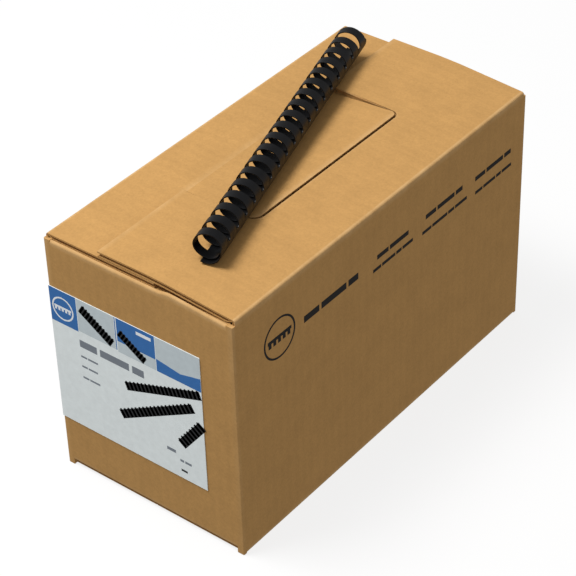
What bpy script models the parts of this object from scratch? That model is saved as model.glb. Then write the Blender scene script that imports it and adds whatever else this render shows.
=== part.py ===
"""Corrugated carton of plastic binding combs, with one comb lying on its lid.

The carton stands on its bottom flaps. Its origin is the middle of the base, +Z is up,
+Y runs along the carton, away from the labelled end wall, and +X points to the side wall
that the outer lid flap is hinged on. Everything is in metres.
"""
import math

import bmesh
import bpy
from mathutils import Matrix, Vector

# Carton
CARTON_WIDTH = 0.1574       # outside, along X
CARTON_LENGTH = 0.3258      # outside, along Y
CARTON_HEIGHT = 0.1955      # floor to the top face of the inner lid flap
BOARD = 0.0040              # C-flute corrugated board
GAP = 0.0003                # between boards that touch
FLAP_INSET = 0.0030         # each end of a lid flap stops short of the end walls by this
MINOR_INSET = 0.0012        # each side of an end flap stops short of the side walls by this

# Flaps
INNER_LID_REACH = 0.092     # inner lid flap, from the left wall's outer face
OUTER_LID_REACH = 0.1124    # outer lid flap, from the right wall's outer face
OUTER_LID_CREASE = 0.0030   # where the outer flap bends down, past the inner flap's edge
MINOR_REACH = 0.078         # all four end flaps, from the end walls' outer faces
JOINT_FLAP_WIDTH = 0.030    # glued flap that closes the sleeve, inside the back left corner

# Lock tongue of the inner flap, and the notch that it fills in the outer flap
NOTCH_START = 0.0872        # near side of the notch, from the front wall
NOTCH_LENGTH = 0.1586       # along Y
NOTCH_DEPTH = 0.0612        # from the outer flap's free edge
NOTCH_NEAR_RADIUS = 0.0095  # inner corner nearest the label
NOTCH_FAR_RADIUS = 0.0065   # inner corner at the far side
NOTCH_MOUTH_RADIUS = 0.0080 # rounded corner where the far side meets the free edge
TONGUE_CLEARANCE = 0.0015   # round the tongue, in the notch
TONGUE_SLIT = 0.0006        # between the tongue and the inner flap it is cut from

# Label on the front wall
LABEL_WIDTH = 0.1290
LABEL_HEIGHT = 0.1120
LABEL_BASE = 0.0430
LABEL_THICKNESS = 0.0002

# Binding combs
COMB_DIAMETER = 0.0210
COMB_WALL = 0.0008
COMB_RINGS = 19
COMB_PITCH = 0.0142875      # nine sixteenths of an inch
FINGER_WIDTH = 0.0074
SPINE_END = 0.0033          # spine past each end finger
SPINE_EDGE_DEG = -115.0     # free edge of the spine, which the comb lies on
SPINE_ROOT_DEG = 4.0        # where the fingers leave the spine, at the comb's right
FINGER_TIP_DEG = 318.0      # fingers run over the top and in behind the spine
TUCK_START_DEG = 175.0      # from here a finger spirals inwards
TUCK_CLEARANCE = 0.0005     # between a finger's tip and the spine's inner face

# Loose comb on the lid
LOOSE_COMB_X = -0.0088      # middle of the comb, from the carton's middle
LOOSE_COMB_Y = -0.0010
LOOSE_COMB_TURN_DEG = 17.0  # from +Y, counterclockwise seen from above

# Combs inside
STOCK_COUNT = 43
STOCK_SHIFT = 0.0035        # how far a comb may have slid along its neighbours
STOCK_SIDES = 14            # facets of a stock comb's outside

# Worked out
HALF_WIDTH = CARTON_WIDTH / 2
HALF_LENGTH = CARTON_LENGTH / 2
STEP = BOARD + GAP
MAJOR_TOP = CARTON_HEIGHT                   # inner lid flap's top face
MINOR_TOP = MAJOR_TOP - STEP                # end flaps' top face
SIDE_WALL_TOP = MAJOR_TOP - STEP
END_WALL_TOP = MINOR_TOP
OUTER_TOP = MAJOR_TOP + STEP                # outer lid flap's top face
FLOOR_TOP = BOARD + STEP                    # top of the bottom end flaps
STOCK_FLOOR = FLOOR_TOP + GAP
INNER_HALF_WIDTH = HALF_WIDTH - STEP
TONGUE_ROOT_X = HALF_WIDTH - OUTER_LID_REACH + 0.001
TONGUE_TIP_X = HALF_WIDTH - OUTER_LID_REACH + NOTCH_DEPTH - TONGUE_CLEARANCE
COMB_RADIUS = COMB_DIAMETER / 2
SPINE_LENGTH = (COMB_RINGS - 1) * COMB_PITCH + FINGER_WIDTH + 2 * SPINE_END

KRAFT = (0.60, 0.37, 0.15, 1.0)
PAPER = (0.80, 0.86, 0.90, 1.0)
BLACK_PVC = (0.012, 0.012, 0.014, 1.0)


def clear_scene():
    """Remove every object of the opened file."""
    for old in list(bpy.data.objects):
        bpy.data.objects.remove(old, do_unlink=True)


def new_collection(name):
    """Make a collection in the scene."""
    collection = bpy.data.collections.new(name)
    bpy.context.scene.collection.children.link(collection)
    return collection


def make_material(name, color, roughness):
    """Plain material of one colour and roughness."""
    material = bpy.data.materials.new(name)
    material.use_nodes = True
    shader = material.node_tree.nodes["Principled BSDF"]
    shader.inputs["Base Color"].default_value = color
    shader.inputs["Roughness"].default_value = roughness
    shader.inputs["Metallic"].default_value = 0.0
    return material


def add_object(name, mesh, material, origin=(0.0, 0.0, 0.0)):
    """Put a mesh in the parts collection, with its own origin."""
    mesh.materials.append(material)
    made = bpy.data.objects.new(name, mesh)
    made.location = origin
    PARTS.objects.link(made)
    return made


def mesh_from(bm, name):
    """Turn a bmesh into a mesh with its normals outwards."""
    bmesh.ops.recalc_face_normals(bm, faces=bm.faces)
    mesh = bpy.data.meshes.new(name)
    bm.to_mesh(mesh)
    bm.free()
    return mesh


def add_box(name, low, high, material, origin=(0.0, 0.0, 0.0)):
    """Box between two corners in world places, its object at the given origin."""
    low = Vector(low)
    high = Vector(high)
    bm = bmesh.new()
    bmesh.ops.create_cube(bm, size=1.0)
    size = high - low
    bmesh.ops.scale(bm, vec=size, verts=bm.verts)
    bmesh.ops.translate(bm, vec=(low + high) / 2 - Vector(origin), verts=bm.verts)
    return add_object(name, mesh_from(bm, name), material, origin)


def add_joint_empty(name, place):
    """Empty on a joint's axis, for a moving piece to hang from."""
    empty = bpy.data.objects.new(name, None)
    empty.location = place
    empty.empty_display_size = 0.02
    PARTS.objects.link(empty)
    return empty


def extrude_profile(points, low, high, axis, name):
    """Closed outline in two of the axes, drawn out along the third from low to high.

    axis "Y" takes (x, z) points and axis "Z" takes (x, y) points.
    """
    bm = bmesh.new()
    if axis == "Y":
        ring = [bm.verts.new((x, low, z)) for x, z in points]
        along = Vector((0.0, high - low, 0.0))
    else:
        ring = [bm.verts.new((x, y, low)) for x, y in points]
        along = Vector((0.0, 0.0, high - low))
    face = bm.faces.new(ring)
    grown = bmesh.ops.extrude_face_region(bm, geom=[face])
    moved = [item for item in grown["geom"] if isinstance(item, bmesh.types.BMVert)]
    bmesh.ops.translate(bm, vec=along, verts=moved)
    return mesh_from(bm, name)


def arc_points(centre, radius, start_deg, end_deg, steps):
    """Points along an arc, both ends included."""
    turn = [math.radians(start_deg + (end_deg - start_deg) * i / steps) for i in range(steps + 1)]
    return [(centre[0] + radius * math.cos(a), centre[1] + radius * math.sin(a)) for a in turn]


def round_corners(low_x, high_x, near, far, shrink):
    """Outline (x, y) with two rounded corners at its high-x end, near side first."""
    near_r = NOTCH_NEAR_RADIUS - shrink
    far_r = NOTCH_FAR_RADIUS - shrink
    outline = [(low_x, near)]
    outline += arc_points((high_x - near_r, near + near_r), near_r, -90, 0, 6)
    outline += arc_points((high_x - far_r, far - far_r), far_r, 0, 90, 6)
    return outline


def add_walls():
    """The four walls of the sleeve and the glued flap that closes it."""
    side_low = BOARD + GAP
    add_box("left_wall", (-HALF_WIDTH, -HALF_LENGTH, side_low),
            (-HALF_WIDTH + BOARD, HALF_LENGTH, SIDE_WALL_TOP), CARDBOARD)
    add_box("right_wall", (HALF_WIDTH - BOARD, -HALF_LENGTH, side_low),
            (HALF_WIDTH, HALF_LENGTH, SIDE_WALL_TOP), CARDBOARD)
    end_low = FLOOR_TOP + GAP
    for name, side in (("front_wall", -1), ("back_wall", 1)):
        faces = sorted((side * HALF_LENGTH, side * (HALF_LENGTH - BOARD)))
        add_box(name, (-INNER_HALF_WIDTH, faces[0], end_low),
                (INNER_HALF_WIDTH, faces[1], END_WALL_TOP), CARDBOARD)
    back = HALF_LENGTH - STEP
    add_box("glue_joint_flap", (-INNER_HALF_WIDTH, back - JOINT_FLAP_WIDTH, end_low),
            (-INNER_HALF_WIDTH + BOARD, back, MINOR_TOP - STEP - GAP), CARDBOARD)


def add_bottom_flaps():
    """Outer bottom flaps that meet in the middle, and the end flaps folded in on them."""
    for name, side in (("bottom_left_flap", -1), ("bottom_right_flap", 1)):
        xs = sorted((side * HALF_WIDTH, side * GAP))
        add_box(name, (xs[0], -HALF_LENGTH, 0.0), (xs[1], HALF_LENGTH, BOARD), CARDBOARD)
    half = INNER_HALF_WIDTH - MINOR_INSET
    for name, side in (("bottom_front_flap", -1), ("bottom_back_flap", 1)):
        ys = sorted((side * HALF_LENGTH, side * (HALF_LENGTH - MINOR_REACH)))
        add_box(name, (-half, ys[0], STEP), (half, ys[1], FLOOR_TOP), CARDBOARD)


def add_top_end_flaps():
    """End flaps under the lid, each hanging from its crease inside an end wall.

    The back one is trimmed on its left, to pass the glued joint flap as it gives way.
    """
    half = INNER_HALF_WIDTH - MINOR_INSET
    for name, side, trim in (("top_front_flap", -1, 0.0), ("top_back_flap", 1, BOARD)):
        crease = (0.0, side * (HALF_LENGTH - STEP), MINOR_TOP - BOARD)
        hinge = add_joint_empty(name + "_crease", crease)
        ys = sorted((crease[1], side * (HALF_LENGTH - MINOR_REACH)))
        flap = add_box(name, (-half + trim, ys[0], MINOR_TOP - BOARD), (half, ys[1], MINOR_TOP),
                       CARDBOARD, origin=crease)
        flap.parent = hinge
        flap.matrix_parent_inverse = Matrix.Translation(crease).inverted()


def add_inner_lid():
    """Inner lid flap on the left wall, with the bite that its lock tongue is cut from."""
    crease = (-HALF_WIDTH, 0.0, MAJOR_TOP)
    hinge = add_joint_empty("inner_lid_crease", crease)
    end = HALF_LENGTH - FLAP_INSET
    flap = add_box("inner_lid_flap", (-HALF_WIDTH, -end, MAJOR_TOP - BOARD),
                   (-HALF_WIDTH + INNER_LID_REACH, end, MAJOR_TOP), CARDBOARD, origin=crease)
    near, far = tongue_sides()
    bite = extrude_profile(
        [(TONGUE_ROOT_X - TONGUE_SLIT, near - TONGUE_SLIT), (HALF_WIDTH, near - TONGUE_SLIT),
         (HALF_WIDTH, far + TONGUE_SLIT), (TONGUE_ROOT_X - TONGUE_SLIT, far + TONGUE_SLIT)],
        MAJOR_TOP - 2 * BOARD, MAJOR_TOP + BOARD, "Z", "tongue_bite")
    cut(flap, add_cutter("tongue_bite", bite))
    flap.parent = hinge
    flap.matrix_parent_inverse = Matrix.Translation(crease).inverted()


def tongue_sides():
    """Near and far side of the tongue, along Y."""
    near = -HALF_LENGTH + NOTCH_START + TONGUE_CLEARANCE
    return near, near + NOTCH_LENGTH - 2 * TONGUE_CLEARANCE


def add_lock_tongue():
    """Tongue of the inner flap, bent up so that its tip lies flush in the outer flap."""
    crease = (TONGUE_ROOT_X, 0.0, MAJOR_TOP - BOARD)
    hinge = add_joint_empty("lock_tongue_crease", crease)
    near, far = tongue_sides()
    reach = math.hypot(TONGUE_TIP_X - TONGUE_ROOT_X, STEP)
    outline = [(0.0, far)] + round_corners(0.0, reach, near, far, TONGUE_CLEARANCE)
    mesh = extrude_profile(outline, 0.0, BOARD, "Z", "lock_tongue")
    tongue = add_object("lock_tongue", mesh, CARDBOARD)
    tongue.parent = hinge
    tongue.rotation_euler = (0.0, -math.atan2(STEP, TONGUE_TIP_X - TONGUE_ROOT_X), 0.0)


def add_outer_lid():
    """Outer lid flap on the right wall: it lies on the inner flap and bends down to its crease."""
    crease = (HALF_WIDTH, 0.0, MAJOR_TOP)
    hinge = add_joint_empty("outer_lid_crease", crease)
    end = HALF_LENGTH - FLAP_INSET
    free_edge = HALF_WIDTH - OUTER_LID_REACH
    bend = -HALF_WIDTH + INNER_LID_REACH + OUTER_LID_CREASE
    profile = [(free_edge, OUTER_TOP - BOARD), (bend, OUTER_TOP - BOARD),
               (HALF_WIDTH, MAJOR_TOP - BOARD), (HALF_WIDTH, MAJOR_TOP), (bend, OUTER_TOP),
               (free_edge, OUTER_TOP)]
    mesh = extrude_profile([(x - crease[0], z - crease[2]) for x, z in profile],
                           -end, end, "Y", "outer_lid_flap")
    flap = add_object("outer_lid_flap", mesh, CARDBOARD, origin=crease)
    near = -HALF_LENGTH + NOTCH_START
    far = near + NOTCH_LENGTH
    outline = round_corners(free_edge - BOARD, free_edge + NOTCH_DEPTH, near, far, 0.0)
    mouth = NOTCH_MOUTH_RADIUS
    outline += reversed(arc_points((free_edge + mouth, far + mouth), mouth, 180, 270, 6))
    outline += [(free_edge - BOARD, far + mouth)]
    notch = extrude_profile(outline, MAJOR_TOP - BOARD, OUTER_TOP + BOARD, "Z", "lid_notch")
    cut(flap, add_cutter("lid_notch", notch))
    flap.parent = hinge
    flap.matrix_parent_inverse = Matrix.Translation(crease).inverted()


def add_cutter(name, mesh):
    """Hidden solid that a Boolean takes away."""
    cutter = bpy.data.objects.new(name, mesh)
    cutter.hide_render = True
    cutter.display_type = "WIRE"
    CUTTERS.objects.link(cutter)
    return cutter


def cut(piece, cutter):
    """Take the cutter away from the piece."""
    boolean = piece.modifiers.new("cut_" + cutter.name, "BOOLEAN")
    boolean.operation = "DIFFERENCE"
    boolean.solver = "EXACT"
    boolean.object = cutter


def add_label():
    """Paper label stuck on the front wall, from its left edge."""
    face = -HALF_LENGTH - GAP
    add_box("label", (-HALF_WIDTH, face - LABEL_THICKNESS, LABEL_BASE),
            (-HALF_WIDTH + LABEL_WIDTH, face, LABEL_BASE + LABEL_HEIGHT), PAPER_LABEL)


def comb_radius_at(turn_deg):
    """Radius of the comb's middle surface: round, then spiralling in behind the spine."""
    middle = COMB_RADIUS - COMB_WALL / 2
    tucked = middle - COMB_WALL - TUCK_CLEARANCE
    spine_back = SPINE_EDGE_DEG + 360.0
    share = (turn_deg - TUCK_START_DEG) / (spine_back - TUCK_START_DEG)
    share = min(max(share, 0.0), 1.0)
    return middle + (tucked - middle) * share * share * (3 - 2 * share)


def comb_place(turn_deg, along):
    """Point of the comb's middle surface in the comb's own axes: X to its right, Y along, Z up."""
    radius = comb_radius_at(turn_deg)
    turn = math.radians(turn_deg)
    return Vector((radius * math.cos(turn), along, radius * math.sin(turn)))


def comb_columns():
    """Places along the comb where spine and fingers begin and end, and which stretches are fingers."""
    edges = [-SPINE_LENGTH / 2]
    fingers = []
    for ring in range(COMB_RINGS):
        middle = (ring - (COMB_RINGS - 1) / 2) * COMB_PITCH
        fingers.append(len(edges))
        edges += [middle - FINGER_WIDTH / 2, middle + FINGER_WIDTH / 2]
    edges.append(SPINE_LENGTH / 2)
    return edges, set(fingers)


def comb_turns():
    """Turns of the comb's section, from the spine's free edge round to the fingers' tips."""
    spine_rows = 8
    finger_rows = 20
    spine = [SPINE_EDGE_DEG + (SPINE_ROOT_DEG - SPINE_EDGE_DEG) * i / spine_rows
             for i in range(spine_rows + 1)]
    finger = [SPINE_ROOT_DEG + (FINGER_TIP_DEG - SPINE_ROOT_DEG) * i / finger_rows
              for i in range(1, finger_rows + 1)]
    return spine + finger, spine_rows


def add_loose_comb():
    """Comb on the lid: a slotted sheet rolled up so that its fingers tuck in behind its spine."""
    edges, fingers = comb_columns()
    turns, spine_rows = comb_turns()
    bm = bmesh.new()
    bmesh.ops.create_grid(bm, x_segments=len(edges) - 1, y_segments=len(turns) - 1, size=0.5)
    bm.verts.ensure_lookup_table()
    across = len(edges) - 1
    down = len(turns) - 1
    slots = []
    for face in bm.faces:
        centre = face.calc_center_median()
        column = int((centre.x + 0.5) * across)
        row = int((centre.y + 0.5) * down)
        if row >= spine_rows and column not in fingers:
            slots.append(face)
    bmesh.ops.delete(bm, geom=slots, context="FACES")
    for vert in bm.verts:
        column = round((vert.co.x + 0.5) * across)
        row = round((vert.co.y + 0.5) * down)
        vert.co = comb_place(turns[row], edges[column])
    place = (LOOSE_COMB_X, LOOSE_COMB_Y, OUTER_TOP + GAP + COMB_RADIUS)
    comb = add_object("loose_comb", mesh_from(bm, "loose_comb"), COMB_PLASTIC, origin=place)
    comb.rotation_euler = (0.0, 0.0, math.radians(LOOSE_COMB_TURN_DEG))
    wall = comb.modifiers.new("wall", "SOLIDIFY")
    wall.thickness = COMB_WALL
    wall.offset = 0.0
    wall.use_even_offset = True


def stock_places():
    """Middles (x, z) of the combs inside, in staggered rows from the floor up."""
    pitch = COMB_DIAMETER + 2 * GAP
    columns = int(2 * (INNER_HALF_WIDTH - GAP) / pitch)
    spacing = 2 * (INNER_HALF_WIDTH - GAP) / columns
    rise = math.sqrt(max(pitch ** 2 - (spacing / 2) ** 2, 0.0))
    places = []
    row = 0
    while len(places) < STOCK_COUNT:
        height = STOCK_FLOOR + COMB_RADIUS + row * rise
        in_row = columns - row % 2
        start = -(in_row - 1) * spacing / 2
        places += [(start + i * spacing, height) for i in range(in_row)]
        row += 1
    return places[:STOCK_COUNT]


def stock_mesh():
    """Plain tube of a stock comb's outside and length, shared by all of them."""
    bm = bmesh.new()
    bmesh.ops.create_cone(bm, cap_ends=False, segments=STOCK_SIDES, radius1=COMB_RADIUS,
                          radius2=COMB_RADIUS, depth=SPINE_LENGTH)
    bmesh.ops.rotate(bm, cent=(0, 0, 0), matrix=Matrix.Rotation(math.pi / 2, 3, "X"),
                     verts=bm.verts)
    return mesh_from(bm, "stock_comb")


def add_stock():
    """Combs lying in the carton, each slid along by its own small amount."""
    mesh = stock_mesh()
    mesh.materials.append(COMB_PLASTIC)
    front = -HALF_LENGTH + STEP
    back = HALF_LENGTH - STEP - JOINT_FLAP_WIDTH - GAP
    room = (back - front - SPINE_LENGTH) / 2
    for index, (x, z) in enumerate(stock_places()):
        slide = min(STOCK_SHIFT, room) * math.sin(2.4 * (index + 1))
        comb = bpy.data.objects.new("stock_comb_%02d" % (index + 1), mesh)
        comb.location = (x, (front + back) / 2 + slide, z)
        PARTS.objects.link(comb)
        wall = comb.modifiers.new("wall", "SOLIDIFY")
        wall.thickness = COMB_WALL
        wall.offset = -1.0
        wall.use_even_offset = True


clear_scene()
PARTS = new_collection("comb_carton")
CUTTERS = new_collection("cutters")
CARDBOARD = make_material("kraft_board", KRAFT, 0.85)
PAPER_LABEL = make_material("paper_label", PAPER, 0.55)
COMB_PLASTIC = make_material("black_pvc", BLACK_PVC, 0.25)
add_walls()
add_bottom_flaps()
add_top_end_flaps()
add_inner_lid()
add_lock_tongue()
add_outer_lid()
add_label()
add_loose_comb()
add_stock()
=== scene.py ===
import math
import random

import bmesh
import bpy
from mathutils import Matrix, Vector


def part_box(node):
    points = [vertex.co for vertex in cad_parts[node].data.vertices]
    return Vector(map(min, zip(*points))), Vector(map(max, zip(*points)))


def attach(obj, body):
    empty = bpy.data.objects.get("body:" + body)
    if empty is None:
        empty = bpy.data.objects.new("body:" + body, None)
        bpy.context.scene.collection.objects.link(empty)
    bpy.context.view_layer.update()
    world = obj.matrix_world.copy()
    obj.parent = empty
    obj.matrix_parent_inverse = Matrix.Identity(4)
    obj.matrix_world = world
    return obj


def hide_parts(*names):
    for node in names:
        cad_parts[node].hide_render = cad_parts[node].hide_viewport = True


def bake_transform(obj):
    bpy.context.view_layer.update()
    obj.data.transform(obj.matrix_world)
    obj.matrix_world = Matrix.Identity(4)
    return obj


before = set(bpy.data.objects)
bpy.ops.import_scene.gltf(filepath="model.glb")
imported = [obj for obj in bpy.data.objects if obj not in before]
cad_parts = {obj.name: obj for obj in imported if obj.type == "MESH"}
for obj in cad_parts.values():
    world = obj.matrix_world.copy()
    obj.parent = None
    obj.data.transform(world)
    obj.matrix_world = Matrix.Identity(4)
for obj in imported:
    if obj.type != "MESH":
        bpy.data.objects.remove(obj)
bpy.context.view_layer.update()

# Carton sleeve
# One sheet of brown C-flute corrugated board, creased at four corners into a sleeve and
# hot-melt glued at the joint flap inside the back left corner. The flutes stand upright
# and show through the kraft liner as a faint washboard, a bump with painted shade.
MM = 0.001
BOARD = 4.0 * MM
LINER = 0.6 * MM             # real liner is 0.25 mm, drawn thicker so that the cut edge reads
FLUTE_PITCH = 7.9 * MM
SKIN = 0.15 * MM             # outer faces sit this far inside the frame, for the ink on them
CORNER_RADIUS = 0.9 * MM     # of the upright corners
STRIP = 12.0 * MM            # stretch of wall that is made with each flap

inner_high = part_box("inner_lid_flap")[1]
end_flap_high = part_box("top_front_flap")[1]
HALF_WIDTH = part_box("right_wall")[1].x - SKIN
HALF_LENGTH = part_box("back_wall")[1].y - SKIN
LID_TOP = inner_high.z
LID_END = inner_high.y
END_FLAP_TOP = end_flap_high.z
END_FLAP_SIDE = end_flap_high.x
BACK_FLAP_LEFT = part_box("top_back_flap")[0].x    # cut back for the joint flap


def linear(code):
    """Turn an sRGB hex colour into the linear colour that a node takes."""
    parts = [int(code[i:i + 2], 16) / 255 for i in (1, 3, 5)]
    return [c / 12.92 if c <= 0.04045 else ((c + 0.055) / 1.055) ** 2.4 for c in parts] + [1.0]


def add_node(tree, kind, inputs=None, **settings):
    """Add a shader node, set its properties, and fill or link its inputs."""
    made = tree.nodes.new("ShaderNode" + kind)
    for key, value in settings.items():
        setattr(made, key, value)
    for key, value in (inputs or {}).items():
        socket = made.inputs[key]
        if isinstance(value, bpy.types.NodeSocket):
            tree.links.new(value, socket)
        else:
            socket.default_value = value
    return made


def new_material(name):
    """Material with only a Principled BSDF and an output."""
    material = bpy.data.materials.new(name)
    material.use_nodes = True
    tree = material.node_tree
    return material, tree, tree.nodes["Principled BSDF"]


def kraft_material(name, base, rubbed_and_highlight_colour):
    """Unbleached kraft liner: matt, mottled, fibrous, pale where its corners are rubbed. Folds
    are pale from rubbing and a painted highlight, and cut edges from a painted highlight only.

    The flute attribute is the distance across the flutes, which the washboard bump and its
    painted shade follow, and a second attribute tells how rubbed the surface is and how
    much painted highlight it carries.
    """
    material, tree, shader = new_material(name)
    place = add_node(tree, "TexCoord").outputs["Object"]
    mottle = add_node(tree, "TexNoise", {"Vector": place, "Scale": 55.0, "Detail": 6.0,
                                         "Roughness": 0.65})
    fibre = add_node(tree, "TexNoise", {"Vector": place, "Scale": 520.0, "Detail": 4.0,
                                        "Roughness": 0.7})
    fleck = add_node(tree, "TexNoise", {"Vector": place, "Scale": 900.0, "Detail": 2.0})
    flute = add_node(tree, "Attribute", attribute_name="flute")
    wear_highlight_attribute = add_node(tree, "Attribute", attribute_name="wear_and_highlight")
    turns = add_node(tree, "Math", {0: flute.outputs["Fac"], 1: 2 * math.pi / FLUTE_PITCH},
                     operation="MULTIPLY")
    wave = add_node(tree, "Math", {0: turns.outputs[0]}, operation="SINE")
    tone = add_node(tree, "MapRange", {"Value": mottle.outputs["Fac"], "From Min": 0.3,
                                       "From Max": 0.7, "To Min": 0.94, "To Max": 1.05})
    fine = add_node(tree, "MapRange", {"Value": fibre.outputs["Fac"], "From Min": 0.25,
                                       "From Max": 0.75, "To Min": 0.90, "To Max": 1.09})
    # Painted shade of the washboard: the colour darkens and lightens across the flutes with the
    # bump.
    flute_shade = add_node(tree, "MapRange", {"Value": wave.outputs[0], "From Min": -1.0,
                                        "From Max": 1.0, "To Min": 0.985, "To Max": 1.012})
    both = add_node(tree, "Math", {0: tone.outputs[0], 1: fine.outputs[0]}, operation="MULTIPLY")
    shade = add_node(tree, "Math", {0: both.outputs[0], 1: flute_shade.outputs[0]},
                     operation="MULTIPLY")
    colour = add_node(tree, "VectorMath", {0: linear(base)[:3], "Scale": shade.outputs[0]},
                      operation="SCALE")
    dark = add_node(tree, "MapRange", {"Value": fleck.outputs["Fac"], "From Min": 0.68,
                                       "From Max": 0.76, "To Min": 0.0, "To Max": 0.3})
    flecked = add_node(tree, "Mix", {0: dark.outputs[0], 6: colour.outputs[0],
                                     7: linear("#7A5630")}, data_type="RGBA")
    # Paler kraft where the corners are rubbed, and a painted highlight on folds and cut edges.
    patchy = add_node(tree, "MapRange", {"Value": mottle.outputs["Fac"], "From Min": 0.35,
                                         "From Max": 0.65, "To Min": 0.35, "To Max": 1.0})
    rub = add_node(tree, "Math", {0: wear_highlight_attribute.outputs["Fac"], 1: patchy.outputs[0]},
                   operation="MULTIPLY")
    rubbed_and_highlit = add_node(tree, "Mix", {0: rub.outputs[0], 6: flecked.outputs[2],
                                    7: linear(rubbed_and_highlight_colour)}, data_type="RGBA")
    tree.links.new(rubbed_and_highlit.outputs[2], shader.inputs["Base Color"])
    rough = add_node(tree, "MapRange", {"Value": fibre.outputs["Fac"], "To Min": 0.74,
                                        "To Max": 0.94})
    tree.links.new(rough.outputs[0], shader.inputs["Roughness"])
    relief = add_node(tree, "Math", {0: wave.outputs[0], 1: 0.3, 2: fibre.outputs["Fac"]},
                      operation="MULTIPLY_ADD")
    bump = add_node(tree, "Bump", {"Height": relief.outputs[0], "Strength": 0.13,
                                   "Distance": 0.00025})
    tree.links.new(bump.outputs[0], shader.inputs["Normal"])
    shader.inputs["Specular IOR Level"].default_value = 0.12
    return material


def finish_piece(bm, name, materials, body, smooth_deg=30.0):
    """Turn a bmesh into a finished piece, and let it ride on a body where one is given."""
    bmesh.ops.recalc_face_normals(bm, faces=bm.faces)
    mesh = bpy.data.meshes.new(name)
    bm.to_mesh(mesh)
    bm.free()
    for material in materials:
        mesh.materials.append(material)
    mesh.shade_smooth()
    mesh.set_sharp_from_angle(angle=math.radians(smooth_deg))
    piece = bpy.data.objects.new(name, mesh)
    bpy.context.scene.collection.objects.link(piece)
    if body:
        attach(piece, body)
    return piece


def add_sheet(bm, columns, rows, warp, thickness=0.0, material=0, closed=False):
    """Add a closed sheet: a grid whose points warp(column, row) puts in place.

    warp gives a point, its rubbing and painted highlight, and its distance across the flutes.
    The grid is the middle of a sheet that has a thickness, and closed joins up the edges of
    one that has none.
    """
    part = bmesh.new()
    wear_and_highlight = part.verts.layers.float.new("wear_and_highlight")
    flute = part.verts.layers.float.new("flute")
    bmesh.ops.create_grid(part, x_segments=columns - 1, y_segments=rows - 1, size=0.5)
    for vert in part.verts:
        column = round((vert.co.x + 0.5) * (columns - 1))
        row = round((vert.co.y + 0.5) * (rows - 1))
        vert.co, vert[wear_and_highlight], vert[flute] = warp(column, row)
    if closed:
        bmesh.ops.remove_doubles(part, verts=part.verts, dist=1e-6)
    if thickness:
        part.normal_update()
        for vert in part.verts:
            vert.co += vert.normal * thickness / 2
        bmesh.ops.solidify(part, geom=part.faces, thickness=thickness)
    for face in part.faces:
        face.material_index = material
    held = bpy.data.meshes.new("sheet")
    part.to_mesh(held)
    part.free()
    bm.from_mesh(held)
    bpy.data.meshes.remove(held)


def smooth_step(value):
    """Ease from 0 to 1."""
    value = min(max(value, 0.0), 1.0)
    return value * value * (3 - 2 * value)


def even_places(low, high, count):
    """Evenly spaced places from low to high."""
    return [low + (high - low) * i / (count - 1) for i in range(count)]


STEP_PAIR = 0.001            # share of a stretch that parts the two points of a step


def sleeve_ring(half_width, half_length, radius, steps):
    """Points round the sleeve, and whether each is on a corner post at the top and the bottom."""
    ring = []
    for quarter, (sx, sy) in enumerate(((1, -1), (1, 1), (-1, 1), (-1, -1))):
        centre = Vector((sx * (half_width - radius), sy * (half_length - radius)))
        arc = []
        for i in range(steps + 1):
            angle = math.radians(90 * (quarter - 1) + 90 * i / steps)
            arc.append(centre + radius * Vector((math.cos(angle), math.sin(angle))))
        on_end = Vector((sx * END_FLAP_SIDE, sy * half_length))
        on_side = Vector((sx * half_width, sy * LID_END))
        before, after = (on_end, on_side) if quarter % 2 == 0 else (on_side, on_end)
        if quarter == 2:
            trimmed = Vector((BACK_FLAP_LEFT, before.y))
            ring += [(trimmed, 0, 0), (trimmed + (before - trimmed) * STEP_PAIR, 1, 0),
                     (before + (trimmed - before) * STEP_PAIR, 1, 0), (before, 1, 1)]
        else:
            ring += [(before, 0, 0), (before + (arc[0] - before) * STEP_PAIR, 1, 1)]
        ring += [(point, 1, 1) for point in arc]
        ring += [(after + (arc[-1] - after) * STEP_PAIR, 1, 1), (after, 0, 0)]
    ring.append(ring[0])
    return ring


# The posts are the sleeve's upright corners, which run past the folds of the flaps beside them.
POST_TOP_LEFT = END_FLAP_TOP + 1.7 * MM
POST_TOP_RIGHT = END_FLAP_TOP + 0.5 * MM
POST_BOTTOM = 0.2 * MM
INNER_RADIUS = 0.3 * MM
CORNER_STEPS = 5
outer_ring = sleeve_ring(HALF_WIDTH, HALF_LENGTH, CORNER_RADIUS, CORNER_STEPS)
inner_ring = sleeve_ring(HALF_WIDTH - BOARD, HALF_LENGTH - BOARD, INNER_RADIUS, CORNER_STEPS)
wall_shares = even_places(0.0, 1.0, 9)
CORNER_WEAR = 0.35


def sleeve_point(column, row):
    """Point of the sleeve, outer face first and inner face on the way back down."""
    outside = row < len(wall_shares)
    at_start = row == 2 * len(wall_shares)
    place, top_post, bottom_post = (outer_ring if outside or at_start else inner_ring)[column]
    share = wall_shares[row if outside else 0 if at_start else 2 * len(wall_shares) - 1 - row]
    low = POST_BOTTOM if bottom_post else STRIP
    high = END_FLAP_TOP - STRIP
    if top_post:
        high = POST_TOP_LEFT if place.x < 0 else POST_TOP_RIGHT
    corner = abs(place.x) > END_FLAP_SIDE + 1.5 * MM and abs(place.y) > LID_END + 0.5 * MM
    long_wall = abs(place.x) > HALF_WIDTH - 2 * BOARD and abs(place.y) < LID_END + MM
    flute = place.y if long_wall else place.x
    wear_and_highlight = CORNER_WEAR * corner * outside * (0.4 + 0.6 * smooth_step(2.5 * share - 1.5))
    return Vector((place.x, place.y, low + (high - low) * share)), wear_and_highlight, flute


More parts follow.
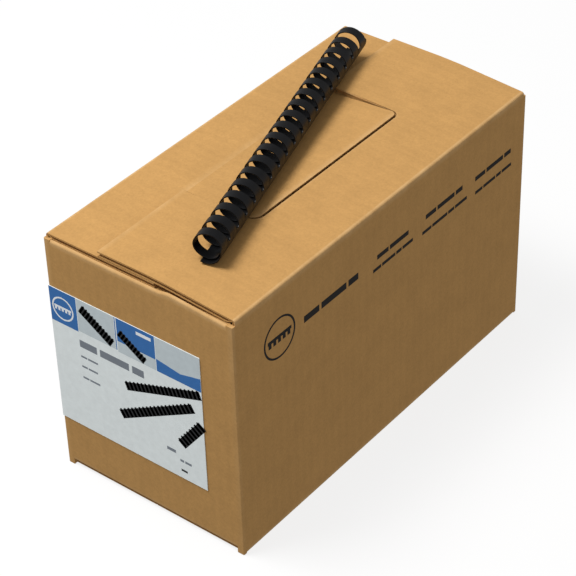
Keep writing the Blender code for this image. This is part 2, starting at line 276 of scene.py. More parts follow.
KRAFT = kraft_material("kraft_liner", "#BD9158", "#D9B584")
KRAFT_RAW = kraft_material("raw_cut_board", "#A87D4A", "#B58A56")
BOARD_MATERIALS = (KRAFT, KRAFT_RAW)
sleeve_bm = bmesh.new()
add_sheet(sleeve_bm, len(outer_ring), 2 * len(wall_shares) + 1, sleeve_point, closed=True)
sleeve = finish_piece(sleeve_bm, "carton_sleeve", BOARD_MATERIALS, "carton")
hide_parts("front_wall", "back_wall", "left_wall", "right_wall")

# Flaps and lids
# Each flap is the same board as its wall, folded over at a crushed crease, and its cut
# edges show the two liners with the fluted medium between them.
FOLD_RADIUS = 1.7 * MM
CRUSHED = 1.6 * MM           # board thickness left in a crease
CREASE_FADE = 6.0 * MM
FOLD_DIP = 1.1 * MM          # distance past the fold over which its spring is lost
ARC_STEPS = 6
WALL_STEPS = 4
FOLD_WEAR_AND_HIGHLIGHT = 0.5              # how pale the outer liner is on a fold: rubbed, and a painted highlight
EDGE_HIGHLIGHT = 0.3              # painted highlight along a cut edge
MEDIUM_INSET = 1.3           # liners between the board's face and the wave's crest
FLUTE_PARTS = 8              # columns in one wave of the medium
NEAR_ROWS = [d * MM for d in (0.3, 0.6, 0.9, 1.2, 1.8, 2.5, 3.5, 5.0, 7.0)]


def add_folded_board(name, corner, down, inward, span, strip, reach, body,
                     rise=lambda b: 0.0, bulge=lambda v: 0.0, flap_rows=6):
    """Board folded from a strip of wall into a flap: two liners with the medium between.

    corner is the fold's outer corner at span 0, down and inward are unit vectors, span lists
    the places along the crease, and reach(v) is how far the flap goes in at each place. rise
    lifts the flap, and bulge pushes the fold up.
    """
    along = Vector((abs(down.cross(inward).x), abs(down.cross(inward).y), 0.0))
    steps = [("wall", 1 - i / WALL_STEPS) for i in range(WALL_STEPS)]
    steps += [("arc", i / ARC_STEPS) for i in range(ARC_STEPS + 1)]
    steps += [("near", distance) for distance in NEAR_ROWS]
    steps += [("reach", i / flap_rows) for i in range(1, flap_rows + 1)]
    start = FOLD_RADIUS

    def point_at(v, row, side, wave):
        kind, share = steps[row]
        lift = bulge(v)
        if kind == "wall":
            down_by, in_by, normal = start + (strip - start) * share, 0.0, (0.0, -1.0)
            far = (down_by - start) / CREASE_FADE
            lift *= 1.0 - share
        elif kind == "arc":
            turn = math.radians(90 * share)
            normal = (-math.sin(turn), -math.cos(turn))
            down_by, in_by, far = start + start * normal[0], start + start * normal[1], 0.0
        else:
            past = start + NEAR_ROWS[-1]
            in_by = start + share if kind == "near" else past + (reach(v) - past) * share
            lift *= 1.0 - smooth_step((in_by - start) / FOLD_DIP)
            down_by, normal = -rise(in_by - start), (-1.0, 0.0)
            far = (in_by - start) / CREASE_FADE
        near = 1.0 - smooth_step(far)
        thick = BOARD - (BOARD - CRUSHED) * near
        depth = {"outer": LINER / 2, "inner": thick - LINER / 2}.get(side)
        if side == "medium":
            depth = thick / 2 + (thick / 2 - MEDIUM_INSET * LINER) * math.sin(wave)
        place = corner + down * (down_by - lift - normal[0] * depth) \
            + inward * (in_by - normal[1] * depth) + along * v
        # Outer liner paler on the fold from rubbing and a painted highlight, and a painted
        # highlight along the cut edge.
        wear_and_highlight = 0.0
        if side == "outer":
            wear_and_highlight = FOLD_WEAR_AND_HIGHLIGHT * smooth_step(1.0 - far * 5.0) \
                + EDGE_HIGHLIGHT * (row == len(steps) - 1)
        return place, wear_and_highlight, v

    bm = bmesh.new()
    for side in ("outer", "inner"):
        add_sheet(bm, len(span), len(steps),
                  lambda c, r, s=side: point_at(span[c], r, s, 0.0), LINER)
    fine = []
    for low, high in zip(span[:-1], span[1:]):
        parts = max(1, round((high - low) / (FLUTE_PITCH / FLUTE_PARTS)))
        fine += [low + (high - low) * i / parts for i in range(parts)]
    fine.append(span[-1])
    add_sheet(bm, len(fine), len(steps),
              lambda c, r: point_at(fine[c], r, "medium", 2 * math.pi * fine[c] / FLUTE_PITCH),
              LINER, material=1)
    piece = finish_piece(bm, name, BOARD_MATERIALS, None if body else "carton", 40.0)
    if body:
        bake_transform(piece)
    return piece


# Bottom flaps: the end flaps lie inside, and the two long flaps meet in the middle over them.
bottom_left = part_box("bottom_left_flap")
bottom_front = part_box("bottom_front_flap")
BOTTOM_REACH = bottom_left[1].x - bottom_left[0].x - SKIN
for name, sx in (("bottom_left_flap", -1), ("bottom_right_flap", 1)):
    made = add_folded_board(
        name + "_board", Vector((sx * HALF_WIDTH, 0.0, 0.0)), Vector((0, 0, 1)),
        Vector((-sx, 0, 0)), even_places(-LID_END, LID_END, 9), STRIP, lambda v: BOTTOM_REACH,
        None)
    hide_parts(name)
for name, sy in (("bottom_front_flap", -1), ("bottom_back_flap", 1)):
    lift = bottom_front[0].z
    made = add_folded_board(
        name + "_board", Vector((0.0, sy * HALF_LENGTH, lift)), Vector((0, 0, 1)),
        Vector((0, -sy, 0)), even_places(-END_FLAP_SIDE, END_FLAP_SIDE, 5), STRIP - lift,
        lambda v: bottom_front[1].y - bottom_front[0].y, None)
    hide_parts(name)

# Glued joint flap inside the back left corner: a plain strip of the same board.
joint_low, joint_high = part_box("glue_joint_flap")
joint_places = even_places(joint_low.y, joint_high.y, 5)
joint_bm = bmesh.new()
add_sheet(joint_bm, 5, 2,
          lambda c, r: (Vector(((joint_low.x + joint_high.x) / 2, joint_places[c],
                                joint_high.z if r else joint_low.z)), 0.0, joint_places[c]), BOARD)
joint_flap = finish_piece(joint_bm, "glue_joint_flap_board", BOARD_MATERIALS, "carton")
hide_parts("glue_joint_flap")

# End flaps under the lid. Their folds spring up in front of the lid's cut edges, and higher
# where only the sloping part of the outer lid flap lies over them.
outer_low, outer_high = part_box("outer_lid_flap")
BEND_X = inner_high.x + 3.0 * MM
UNDER_INNER = 1.5 * MM
RISE_START = inner_high.x + 4.0 * MM
RISE_END = inner_high.x + 15.0 * MM
SPRING_CLEARANCE = 0.3 * MM


def end_fold_spring(x):
    """How far an end fold rises above its flap."""
    slope = min(max((HALF_WIDTH - x) / (HALF_WIDTH - BEND_X), 0.0), 1.0)
    under_outer = (outer_high.z - LID_TOP) * slope - SPRING_CLEARANCE
    share = smooth_step((x - RISE_START) / (RISE_END - RISE_START))
    return UNDER_INNER + (under_outer - UNDER_INNER) * share


for name, body, sy in (("top_front_flap", "front_end_flap", -1),
                       ("top_back_flap", "back_end_flap", 1)):
    low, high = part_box(name)
    flap_depth = HALF_LENGTH - (-high.y if sy < 0 else low.y)
    made = add_folded_board(
        name + "_board", Vector((0.0, sy * HALF_LENGTH, END_FLAP_TOP)), Vector((0, 0, -1)),
        Vector((0, -sy, 0)), even_places(low.x, high.x, 61), STRIP,
        lambda v: flap_depth, body, bulge=end_fold_spring)
    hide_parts(name)

# Inner lid flap on the left wall. Its free edge has the bite that the lock tongue is cut from.
tongue_low, tongue_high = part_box("lock_tongue")
INNER_REACH = inner_high.x + HALF_WIDTH
ROOT_OVERLAP = 1.5 * MM      # how far the tongue runs back past its crease
BITE_GAP = 0.3 * MM          # between the bite and the tongue's sides
HAIR = 0.01 * MM             # between the two columns of a step
TONGUE_ROOT = tongue_low.x + HALF_WIDTH - ROOT_OVERLAP


def inner_reach(y):
    """Reach of the inner lid flap: short where the tongue is."""
    beside_tongue = tongue_low.y - BITE_GAP < y < tongue_high.y + BITE_GAP
    return TONGUE_ROOT if beside_tongue else INNER_REACH


def places_with_steps(low, high, steps, count):
    """Places from low to high, with a pair on either side of each step."""
    places = even_places(low, high, count)
    for step in steps:
        places += [step - HAIR, step + HAIR]
    return sorted(places)


inner_lid = add_folded_board(
    "inner_lid_flap_board", Vector((-HALF_WIDTH, 0.0, LID_TOP)), Vector((0, 0, -1)),
    Vector((1, 0, 0)),
    places_with_steps(-LID_END, LID_END, (tongue_low.y - BITE_GAP, tongue_high.y + BITE_GAP), 25),
    STRIP + LID_TOP - END_FLAP_TOP, inner_reach, "inner_lid")
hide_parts("inner_lid_flap")

# Outer lid flap on the right wall. It lies on the inner one and bends down to its crease, and
# its notch has rounded corners inside and a rounded mouth.
OUTER_REACH = HALF_WIDTH - outer_low.x
OUTER_RISE = outer_high.z - LID_TOP
NOTCH_GAP = 1.5 * MM
NOTCH_NEAR = tongue_low.y - NOTCH_GAP
NOTCH_FAR = tongue_high.y + NOTCH_GAP
NOTCH_REACH = HALF_WIDTH - tongue_high.x - NOTCH_GAP
NEAR_CORNER = 9.5 * MM
FAR_CORNER = 6.5 * MM
MOUTH_CORNER = 8.0 * MM
BEND_ROUNDING = 0.06         # share of the rise that is lost where the slope meets the flat
BEND_LENGTH = 6.0 * MM


def rounded_off(gone, radius):
    """How far a rounded corner stands back, where gone is 1 at its end and 0 at its start."""
    return radius * (1.0 - math.sqrt(max(1.0 - gone * gone, 0.0)))


def outer_reach(y):
    """Reach of the outer lid flap from its crease: short in the notch."""
    if y < NOTCH_NEAR or y > NOTCH_FAR + MOUTH_CORNER:
        return OUTER_REACH
    if y > NOTCH_FAR:
        gone = 1.0 - (y - NOTCH_FAR) / MOUTH_CORNER
        return OUTER_REACH - rounded_off(gone, MOUTH_CORNER)
    if y < NOTCH_NEAR + NEAR_CORNER:
        gone = 1.0 - (y - NOTCH_NEAR) / NEAR_CORNER
        return NOTCH_REACH + rounded_off(gone, NEAR_CORNER)
    if y > NOTCH_FAR - FAR_CORNER:
        gone = 1.0 - (NOTCH_FAR - y) / FAR_CORNER
        return NOTCH_REACH + rounded_off(gone, FAR_CORNER)
    return NOTCH_REACH


def outer_rise(past):
    """Height of the outer lid flap past its fold: a slope, rounded into the flat part."""
    bend = HALF_WIDTH - FOLD_RADIUS - BEND_X
    rounding = BEND_ROUNDING * math.exp(-((past - bend) / BEND_LENGTH) ** 2)
    return OUTER_RISE * max(min(past / bend, 1.0) - rounding, 0.0)


notch_places = []
for start, end in ((NOTCH_NEAR, NOTCH_NEAR + NEAR_CORNER), (NOTCH_FAR, NOTCH_FAR - FAR_CORNER),
                   (NOTCH_FAR + HAIR, NOTCH_FAR + MOUTH_CORNER)):
    notch_places += [start + (end - start) * (1 - math.cos(math.radians(9 * i)))
                     for i in range(11)]
lid_places = sorted(even_places(-LID_END, LID_END, 25) + notch_places + [NOTCH_NEAR - HAIR])
outer_lid = add_folded_board(
    "outer_lid_flap_board", Vector((HALF_WIDTH, 0.0, LID_TOP)), Vector((0, 0, -1)),
    Vector((-1, 0, 0)), lid_places, STRIP + LID_TOP - END_FLAP_TOP, outer_reach,
    "outer_lid", rise=outer_rise, flap_rows=24)
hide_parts("outer_lid_flap")

# Lock tongue: part of the inner lid flap's board, bent up so that its tip fills the notch.
TONGUE_RISE = tongue_high.z - LID_TOP
TONGUE_REACH = tongue_high.x + HALF_WIDTH
# Painted highlight along the top of the tongue's tip edge.
TIP_HIGHLIGHT = 0.45


def tongue_point(y, share, level):
    """Point of the tongue at a share of its reach, at a level across its thickness."""
    near_r = NEAR_CORNER - NOTCH_GAP
    far_r = FAR_CORNER - NOTCH_GAP
    tip = TONGUE_REACH
    for edge, radius in ((y - tongue_low.y, near_r), (tongue_high.y - y, far_r)):
        if edge < radius:
            gone = 1.0 - edge / radius
            tip = TONGUE_REACH - rounded_off(gone, radius)
    inward = TONGUE_ROOT + (tip - TONGUE_ROOT) * share
    root = TONGUE_ROOT + ROOT_OVERLAP
    lift = TONGUE_RISE * max(inward - root, 0.0) / (TONGUE_REACH - root)
    # Painted highlight on the tip's top edge.
    wear_and_highlight = TIP_HIGHLIGHT * (share == 1.0) * (level > 0)
    return Vector((-HALF_WIDTH + inward, y, LID_TOP - BOARD / 2 + lift + level)), wear_and_highlight, y


tongue_places = []
for start, end, count in ((tongue_low.y, tongue_low.y + NEAR_CORNER - NOTCH_GAP, 10),
                          (tongue_high.y, tongue_high.y - FAR_CORNER + NOTCH_GAP, 10)):
    tongue_places += [start + (end - start) * (1 - math.cos(math.radians(90 * i / count)))
                      for i in range(count + 1)]
tongue_places = sorted(tongue_places + even_places(tongue_low.y + 12 * MM,
                                                   tongue_high.y - 12 * MM, 9))
fine_places = sorted(set(tongue_places) | set(even_places(tongue_low.y, tongue_high.y, 155)))
tongue_shares = [0.0, 0.03, 0.08, 0.2, 0.4, 0.6, 0.8, 0.92, 1.0]
tongue_bm = bmesh.new()
for level in (BOARD / 2 - LINER / 2, LINER / 2 - BOARD / 2):
    add_sheet(tongue_bm, len(tongue_places), len(tongue_shares),
              lambda c, r, h=level: tongue_point(tongue_places[c], tongue_shares[r], h), LINER)
swing = BOARD / 2 - LINER * 1.35
add_sheet(tongue_bm, len(fine_places), len(tongue_shares),
          lambda c, r: tongue_point(fine_places[c], tongue_shares[r],
                                    swing * math.sin(2 * math.pi * fine_places[c] / FLUTE_PITCH)),
          LINER * 0.7, material=1)
tongue = finish_piece(tongue_bm, "lock_tongue_board", BOARD_MATERIALS, None, 40.0)
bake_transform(tongue)
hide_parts("lock_tongue")

# Binding combs
# Black PVC sheet, 0.8 mm thick, slotted into 19 fingers on one spine and heat-set into a
# roll, so the fingers run round and tuck in behind the spine. Glossy, with soft bent edges.
COMB_WALL = 0.8 * MM
RINGS = 19
RING_PITCH = 14.2875 * MM
FINGER_ROOT = 9.9 * MM
FINGER = 7.4 * MM
SPINE_END = 7.0 * MM         # from the last ring's middle to the spine's end
COMB_RADIUS = (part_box("stock_comb_01")[1].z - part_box("stock_comb_01")[0].z) / 2
# Turns in degrees round the comb's axis, from its right side and over its top.
SPINE_EDGE = -115.0          # the spine's free edge
SPINE_ROOT = 4.0             # where the fingers leave the spine
TUCK_START = 175.0           # where they start to run in behind it
FINGER_TIP = 318.0
NARROW_BY = 66.0             # turn by which a finger has lost the width of its root
SLOT_RADIUS = 2.3 * MM
FINGER_TAPER = 0.7 * MM      # width that a finger loses on its way to the tip
TUCK_GAP = 0.5 * MM          # between the spine and the fingers behind it
TIP_WIDTH = 0.45             # of a finger's width, at the end of its rounded tip
SPINE_ROWS = 12
RIM_BEVEL = 0.12 * MM


def pvc_material():
    """Glossy black PVC: faint unevenness of the rolled sheet and a few dull rubs."""
    material, tree, shader = new_material("black_pvc")
    place = add_node(tree, "TexCoord").outputs["Object"]
    rub = add_node(tree, "TexNoise", {"Vector": place, "Scale": 180.0, "Detail": 4.0})
    rough = add_node(tree, "MapRange", {"Value": rub.outputs["Fac"], "From Min": 0.35,
                                        "From Max": 0.75, "To Min": 0.32, "To Max": 0.5})
    tree.links.new(rough.outputs[0], shader.inputs["Roughness"])
    tint = add_node(tree, "Mix", {0: rub.outputs["Fac"], 6: linear("#050506"),
                                  7: linear("#0E0F12")}, data_type="RGBA")
    tree.links.new(tint.outputs[2], shader.inputs["Base Color"])
    bump = add_node(tree, "Bump", {"Height": rub.outputs["Fac"], "Strength": 0.06,
                                   "Distance": 0.0002})
    tree.links.new(bump.outputs[0], shader.inputs["Normal"])
    shader.inputs["Specular IOR Level"].default_value = 0.18
    return material


def comb_radius_at(turn):
    """Radius of the middle of the sheet: round, then spiralling in behind the spine."""
    middle = COMB_RADIUS - COMB_WALL / 2
    tucked = middle - COMB_WALL - TUCK_GAP
    share = (turn - TUCK_START) / (SPINE_EDGE + 360.0 - TUCK_START)
    return middle + (tucked - middle) * smooth_step(share)


def finger_width_at(turn):
    """Width of a finger: broad at its root on the spine, then even, then a little narrower."""
    even = FINGER - FINGER_TAPER * max(turn - NARROW_BY, 0.0) / (FINGER_TIP - NARROW_BY)
    return even + (FINGER_ROOT - FINGER) * (1.0 - smooth_step((turn - SPINE_ROOT)
                                                              / (NARROW_BY - SPINE_ROOT)))


def comb_columns(gap_columns):
    """Places along the comb, and what lies between each one and the next."""
    places, kinds = [-(RINGS - 1) / 2 * RING_PITCH - SPINE_END], ["end"]
    gap = RING_PITCH - FINGER_ROOT
    for number in range(RINGS):
        middle = (number - (RINGS - 1) / 2) * RING_PITCH
        places += [middle - FINGER_ROOT / 2, middle, middle + FINGER_ROOT / 2]
        kinds += ["finger", "finger"]
        if number < RINGS - 1:
            places += [places[-1] + gap * (1 - math.cos(math.pi * i / gap_columns)) / 2
                       for i in range(1, gap_columns)]
            kinds += ["gap"] * gap_columns
    return places + [-places[0]], kinds + ["end"]


def comb_bmesh(finger_rows, gap_columns, edge_bevel):
    """Comb along +Y, lying on its spine with the roots of its fingers at +X."""
    places, kinds = comb_columns(gap_columns)
    root_turn = math.degrees(SLOT_RADIUS / (COMB_RADIUS - COMB_WALL / 2))
    turns = [SPINE_EDGE + (SPINE_ROOT - SPINE_EDGE) * i / SPINE_ROWS
             for i in range(SPINE_ROWS + 1)]
    first = len(turns) - 1
    sweep = SPINE_ROOT + root_turn
    turns += [sweep + (FINGER_TIP - sweep) * i / finger_rows for i in range(finger_rows + 1)]
    across, down = len(places) - 1, len(turns) - 1
    bm = bmesh.new()
    bmesh.ops.create_grid(bm, x_segments=across, y_segments=down, size=0.5)
    slots = [face for face in bm.faces
             if int((face.calc_center_median().y + 0.5) * down) >= first
             and kinds[int((face.calc_center_median().x + 0.5) * across)] != "finger"]
    bmesh.ops.delete(bm, geom=slots, context="FACES")
    for vert in bm.verts:
        row = round((vert.co.y + 0.5) * down)
        along, turn = places[round((vert.co.x + 0.5) * across)], turns[row]
        number = min(max(round(along / RING_PITCH + (RINGS - 1) / 2), 0), RINGS - 1)
        offset = along - (number - (RINGS - 1) / 2) * RING_PITCH
        if row == first:
            gone = min(max(1.0 - (abs(offset) - FINGER_ROOT / 2) / SLOT_RADIUS, 0.0), 1.0)
            turn = SPINE_ROOT + root_turn * (1.0 - math.sqrt(1.0 - gone * gone))
        elif row > first:
            share = finger_width_at(turn) / finger_width_at(sweep)
            from_tip = (down - row) / 3
            if from_tip < 1.0:
                share *= TIP_WIDTH + (1.0 - TIP_WIDTH) * math.sqrt(1.0 - (1.0 - from_tip) ** 2)
            along += offset * (share - 1.0)
        angle, radius = math.radians(turn), comb_radius_at(turn)
        vert.co = Vector((radius * math.cos(angle), along, radius * math.sin(angle)))
    bmesh.ops.remove_doubles(bm, verts=bm.verts, dist=1e-6)
    bm.normal_update()
    for vert in bm.verts:
        vert.co += vert.normal * COMB_WALL / 2
    bmesh.ops.solidify(bm, geom=bm.faces, thickness=COMB_WALL)
    if edge_bevel:
        rims = [e for e in bm.edges if e.is_manifold and e.calc_face_angle() > math.radians(50)]
        bmesh.ops.bevel(bm, geom=rims, offset=RIM_BEVEL, offset_type="OFFSET", segments=1,
                        profile=0.5, affect="EDGES", material=-1)
    return bm


BLACK_PVC = pvc_material()
plain_comb = comb_bmesh(finger_rows=26, gap_columns=4, edge_bevel=False)
plain_mesh = bpy.data.meshes.new("plain_comb")
plain_comb.to_mesh(plain_mesh)
plain_comb.free()
luck = random.Random(19)
for name in sorted(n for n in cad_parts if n.startswith("stock_comb_")):
    low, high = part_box(name)
    spin = Matrix.Rotation(math.radians(luck.uniform(0, 360)), 4, "Y")
    end_for_end = Matrix.Rotation(math.pi * luck.randint(0, 1), 4, "Z")
    comb_bm = bmesh.new()
    comb_bm.from_mesh(plain_mesh)
    bmesh.ops.transform(comb_bm, matrix=Matrix.Translation((low + high) / 2) @ end_for_end @ spin,
                        verts=comb_bm.verts)
    comb = finish_piece(comb_bm, name + "_rolled", (BLACK_PVC,), "carton", 35.0)
    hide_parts(name)
bpy.data.meshes.remove(plain_mesh)

# The comb on the lid lies across it at an angle, resting on its spine.
LOOSE_TURN = math.radians(17.0)
LOOSE_DROP = 0.06 * MM       # keeps its round top inside the frame's height
loose_low, loose_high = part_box("loose_comb")
loose_place = (loose_low + loose_high) / 2 - Vector((0.0, 0.0, LOOSE_DROP))
loose_bm = comb_bmesh(finger_rows=64, gap_columns=8, edge_bevel=True)
bmesh.ops.transform(loose_bm, verts=loose_bm.verts,
                    matrix=Matrix.Translation(loose_place) @ Matrix.Rotation(LOOSE_TURN, 4, "Z"))
loose = finish_piece(loose_bm, "loose_comb_rolled", (BLACK_PVC,), "comb", 35.0)
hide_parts("loose_comb")

# Label
# Smooth white paper, glued to the end wall and folded flush with its left edge, printed in
# blue, black and greys. The print is plain shapes: combs, a ring sign and bars for words.
label_low, label_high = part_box("label")
PAPER_FRONT = label_low.y + 0.10 * MM
PAPER = 0.4 * MM             # real paper is 0.1 mm, drawn thicker so that its edge shows
INK_BACK = -0.05             # mm, so a print's back lies inside what it is printed on
LABEL_LEFT, LABEL_RIGHT = label_low.x, label_high.x
LABEL_BOTTOM, LABEL_TOP = label_low.z, label_high.z


def printed_material(name, base, roughness):
    """Printed or plain coated paper: nearly even, with a slight mottle of the ink."""
    material, tree, shader = new_material(name)
    place = add_node(tree, "TexCoord").outputs["Object"]
    mottle = add_node(tree, "TexNoise", {"Vector": place, "Scale": 260.0, "Detail": 4.0})
    tone = add_node(tree, "MapRange", {"Value": mottle.outputs["Fac"], "From Min": 0.3,
                                       "From Max": 0.7, "To Min": 0.96, "To Max": 1.03})
    colour = add_node(tree, "VectorMath", {0: linear(base)[:3], "Scale": tone.outputs[0]},
                      operation="SCALE")
    tree.links.new(colour.outputs[0], shader.inputs["Base Color"])
    shader.inputs["Roughness"].default_value = roughness
    shader.inputs["Specular IOR Level"].default_value = 0.3
    return material


def add_plate(bm, outline, map_point, back, front):
    """Add a flat closed plate. map_point(u, v, depth) puts the outline's points in space."""
    low = [bm.verts.new(map_point(u, v, back)) for u, v in outline]
    high = [bm.verts.new(map_point(u, v, front)) for u, v in outline]
    bm.faces.new(low[::-1])
    bm.faces.new(high)
    for i in range(len(outline)):
        k = (i + 1) % len(outline)
        bm.faces.new((low[i], low[k], high[k], high[i]))


def box_outline(u0, u1, v0, v1):
    """Outline of an upright rectangle."""
    return [(u0, v0), (u1, v0), (u1, v1), (u0, v1)]


def ring_outlines(u, v, radius, width, parts=24):
    """Outlines of the pieces of a ring."""
    found = []
    for i in range(parts):
        a, b = 2 * math.pi * i / parts, 2 * math.pi * (i + 1) / parts
        found.append([(u + r * math.cos(t), v + r * math.sin(t))
                      for r, t in ((radius - width, a), (radius, a), (radius, b),
                                   (radius - width, b))])
    return found


def strip_outline(start, end, width):
    """Outline of a straight strip between two points."""
    start, end = Vector(start), Vector(end)
    side = (end - start).orthogonal().normalized() * width / 2
    return [tuple(p) for p in (start - side, end - side, end + side, start + side)]


def comb_outlines(start, end, width, rings):
    """Outlines of a drawn comb: a spine strip with rounded bumps for its rings."""
    start, end = Vector(start), Vector(end)
    along = (end - start) / rings
    side = along.orthogonal().normalized() * width
    found = [strip_outline(start, end, width)]
    for i in range(rings):
        middle = start + along * (i + 0.5)
        found.append([tuple(middle + along * a + side * b)
                      for a, b in ((-0.32, -0.5), (0.32, -0.5), (0.34, 0.35), (0.2, 0.62),
                                   (-0.2, 0.62), (-0.34, 0.35))])
    return found


def comb_sign(u, v, width):
    """Outlines of a generic comb sign: a bar with five short teeth."""
    height = width * 0.24
    found = [box_outline(u - width / 2, u + width / 2, v, v + height * 0.45)]
    for i in range(5):
        tooth = u - width / 2 + width * (i + 0.14) / 5
        found.append(box_outline(tooth, tooth + width * 0.12, v - height * 0.6, v))
    return found


def word_bars(u0, u1, v, height, words):
    """Outlines of bars that stand in for a line of words."""
    shares = [3, 5, 2, 4, 6][:words]
    gap = height * 0.45
    unit = (u1 - u0 - gap * (words - 1)) / sum(shares)
    found = []
    for share in shares:
        found.append(box_outline(u0, u0 + unit * share, v - height / 2, v + height / 2))
        u0 += unit * share + gap
    return found


def label_point(u, v, depth):
    """Point of the label: u mm from its left edge, v mm above the carton's foot."""
    return Vector((LABEL_LEFT + u * MM, PAPER_FRONT - depth * MM, v * MM))


LABEL_PAPER = printed_material("label_paper", "#EFF6F6", 0.45)
LABEL_INKS = {
    "blue": printed_material("blue_print", "#2F6FB4", 0.45),
    "black": printed_material("black_print", "#17181B", 0.45),
    "grey": printed_material("grey_print", "#7E858E", 0.5),
    "mist": printed_material("mist_print", "#CBD6DA", 0.5),
    "paper": printed_material("knocked_out_print", "#F2F6F8", 0.55)}

paper_bm = bmesh.new()
paper_rows = even_places(LABEL_BOTTOM, LABEL_TOP, 9)
paper_columns = even_places(LABEL_LEFT + SKIN, LABEL_RIGHT, 11)
add_sheet(paper_bm, 11, 9, lambda c, r: (Vector((paper_columns[c], PAPER_FRONT + PAPER / 2,
                                                paper_rows[r])), 0.0, 0.0), PAPER)
paper = finish_piece(paper_bm, "label_paper_sheet", (LABEL_PAPER,), "carton")
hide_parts("label")

label_print = [
    ("blue", 0.02, [box_outline(0.3, 24, 127, 154.9)]),
    ("paper", 0.04, ring_outlines(11.5, 140, 9.5, 1.2) + comb_sign(11.5, 140, 15)),
    ("mist", 0.02, [box_outline(24.5, 57, 128, 154.9), box_outline(92, 128.9, 127, 154.9)]),
    ("black", 0.04, comb_outlines((27.5, 148), (54, 131), 7.5, 11)),
    ("blue", 0.02, [box_outline(57.4, 58.2, 128, 154.9), box_outline(59, 91.5, 136, 154.9)]),
    ("mist", 0.02, [box_outline(59, 91.5, 127, 136)]),
    ("black", 0.04, comb_outlines((60.5, 143.5), (82, 129.5), 6.0, 9)),
    ("paper", 0.04, [box_outline(76, 88.6, 149.2, 151.8)]),
    ("blue", 0.04, [[(92, 127), (128.9, 127), (128.9, 138), (112, 134), (92, 137)]]),
    ("grey", 0.02, word_bars(24, 80, 117.5, 6.0, 3)),
    ("grey", 0.02, word_bars(24, 39, 106.5, 1.6, 2) + word_bars(24, 38, 98, 1.6, 2)
        + word_bars(24, 39, 88.5, 1.6, 2)),
    ("black", 0.02, comb_outlines((63, 100), (128, 123.5), 6.6, 19)),
    ("black", 0.02, comb_outlines((56.5, 72.5), (121, 109.5), 7.0, 19)),
    ("black", 0.02, comb_outlines((109, 73), (128, 98), 7.4, 8)),
    ("grey", 0.02, word_bars(95.6, 103.2, 63.7, 2.6, 1) + word_bars(106.6, 116.3, 58.3, 2.0, 2)),
    ("black", 0.02, word_bars(107, 112.3, 50, 1.8, 1))]
for ink in ("blue", "mist", "grey", "black", "paper"):
    ink_bm = bmesh.new()
    for colour, front, outlines in label_print:
        if colour == ink:
            for outline in outlines:
                add_plate(ink_bm, outline, label_point, INK_BACK, front)
    finish_piece(ink_bm, "label_" + ink + "_print", (LABEL_INKS[ink],), "carton")

# Print on the long wall
# Black flexographic ink, soaked into the kraft liner: matt, slightly uneven. A ring with the
# comb sign, one bold line and three blocks of two lines, all of them plain bars.
CARTON_INK = printed_material("carton_ink", "#1D1A18", 0.8)
WALL_INK = 0.08              # mm that the print stands out of the wall


def wall_point(u, v, depth):
    """Point of the long wall's print: u mm from the near end, v mm above the carton's foot."""
    return Vector((HALF_WIDTH + depth * MM, -HALF_LENGTH + u * MM, v * MM))


wall_print = ring_outlines(45, 156, 16, 1.5, 40) + comb_sign(45, 156, 24)
wall_print += word_bars(70, 128, 154, 5.2, 3)
for u0, u1, v, height, words in ((149, 184.5, 156, 3.6, 2), (144.5, 189.6, 147, 2.6, 4),
                                 (204.6, 248.3, 156.5, 3.6, 3), (200.7, 254, 145, 2.6, 4),
                                 (264, 308.4, 154.5, 3.6, 3), (264.5, 309.6, 142.5, 2.6, 4)):
    wall_print += word_bars(u0, u1, v, height, words)
wall_bm = bmesh.new()
for outline in wall_print:
    add_plate(wall_bm, outline, wall_point, INK_BACK, WALL_INK)
finish_piece(wall_bm, "long_wall_print", (CARTON_INK,), "carton")

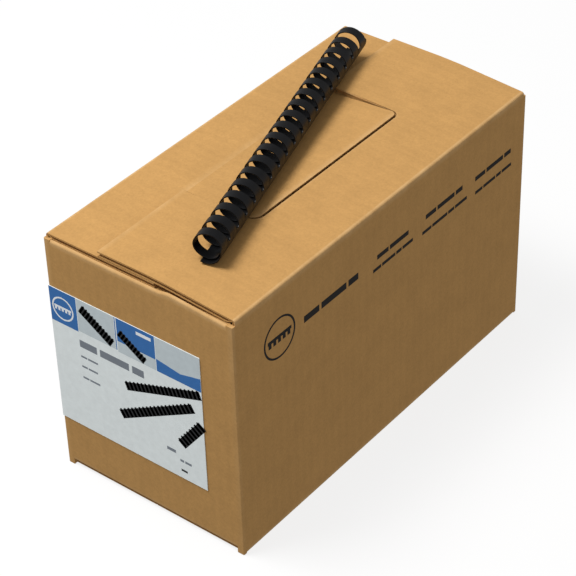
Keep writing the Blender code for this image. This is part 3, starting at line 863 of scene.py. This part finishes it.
# Stage
# White seamless floor that glows a little, and neither lights the carton nor shows in the
# comb. One large soft lamp overhead to the left, and dim surroundings.
FLOOR_SIZE = 6.0
FLOOR_DROP = 0.2 * MM
LAMP_PLACE = Vector((-0.62, -0.62, 2.1))
LAMP_AIM = Vector((0.0, 0.0, 0.1))
bpy.ops.mesh.primitive_plane_add(size=FLOOR_SIZE, location=(0.0, 0.0, -FLOOR_DROP))
floor = bpy.context.object
floor.name = "studio_floor"
floor_material, _, floor_shader = new_material("white_paper_floor")
floor_shader.inputs["Base Color"].default_value = (0.16, 0.16, 0.16, 1.0)
floor_shader.inputs["Roughness"].default_value = 1.0
floor_shader.inputs["Specular IOR Level"].default_value = 0.0
floor_shader.inputs["Emission Color"].default_value = (1.0, 1.0, 1.0, 1.0)
floor_shader.inputs["Emission Strength"].default_value = 0.82
floor.data.materials.append(floor_material)
floor.visible_diffuse = False
floor.visible_glossy = False

world = bpy.data.worlds.new("studio")
bpy.context.scene.world = world
world.use_nodes = True
world.node_tree.nodes["Background"].inputs["Color"].default_value = (1.0, 1.0, 1.0, 1.0)
world.node_tree.nodes["Background"].inputs["Strength"].default_value = 0.43
light = bpy.data.lights.new("key", "AREA")
light.energy = 44.0
light.size = 0.9
lamp = bpy.data.objects.new("key", light)
lamp.location = LAMP_PLACE
lamp.rotation_euler = (LAMP_AIM - LAMP_PLACE).to_track_quat("-Z", "Y").to_euler()
bpy.context.scene.collection.objects.link(lamp)
bpy.context.scene.view_settings.view_transform = "Standard"

# Camera: a long lens above the near corner, turned a little on its own axis.
CAMERA_PLACE = Vector((0.7539, -0.9357, 1.0059))
CAMERA_AIM = Vector((0.0050, -0.0177, 0.1000))
CAMERA_ROLL = math.radians(-1.88)
camera_data = bpy.data.cameras.new("camera")
camera_data.lens = 134.77
camera_data.sensor_width = 36.0
camera = bpy.data.objects.new("camera", camera_data)
camera.location = CAMERA_PLACE
look = (CAMERA_AIM - CAMERA_PLACE).to_track_quat("-Z", "Y").to_matrix().to_4x4()
camera.rotation_euler = (look @ Matrix.Rotation(CAMERA_ROLL, 4, "Z")).to_euler()
bpy.context.scene.collection.objects.link(camera)
bpy.context.scene.camera = camera
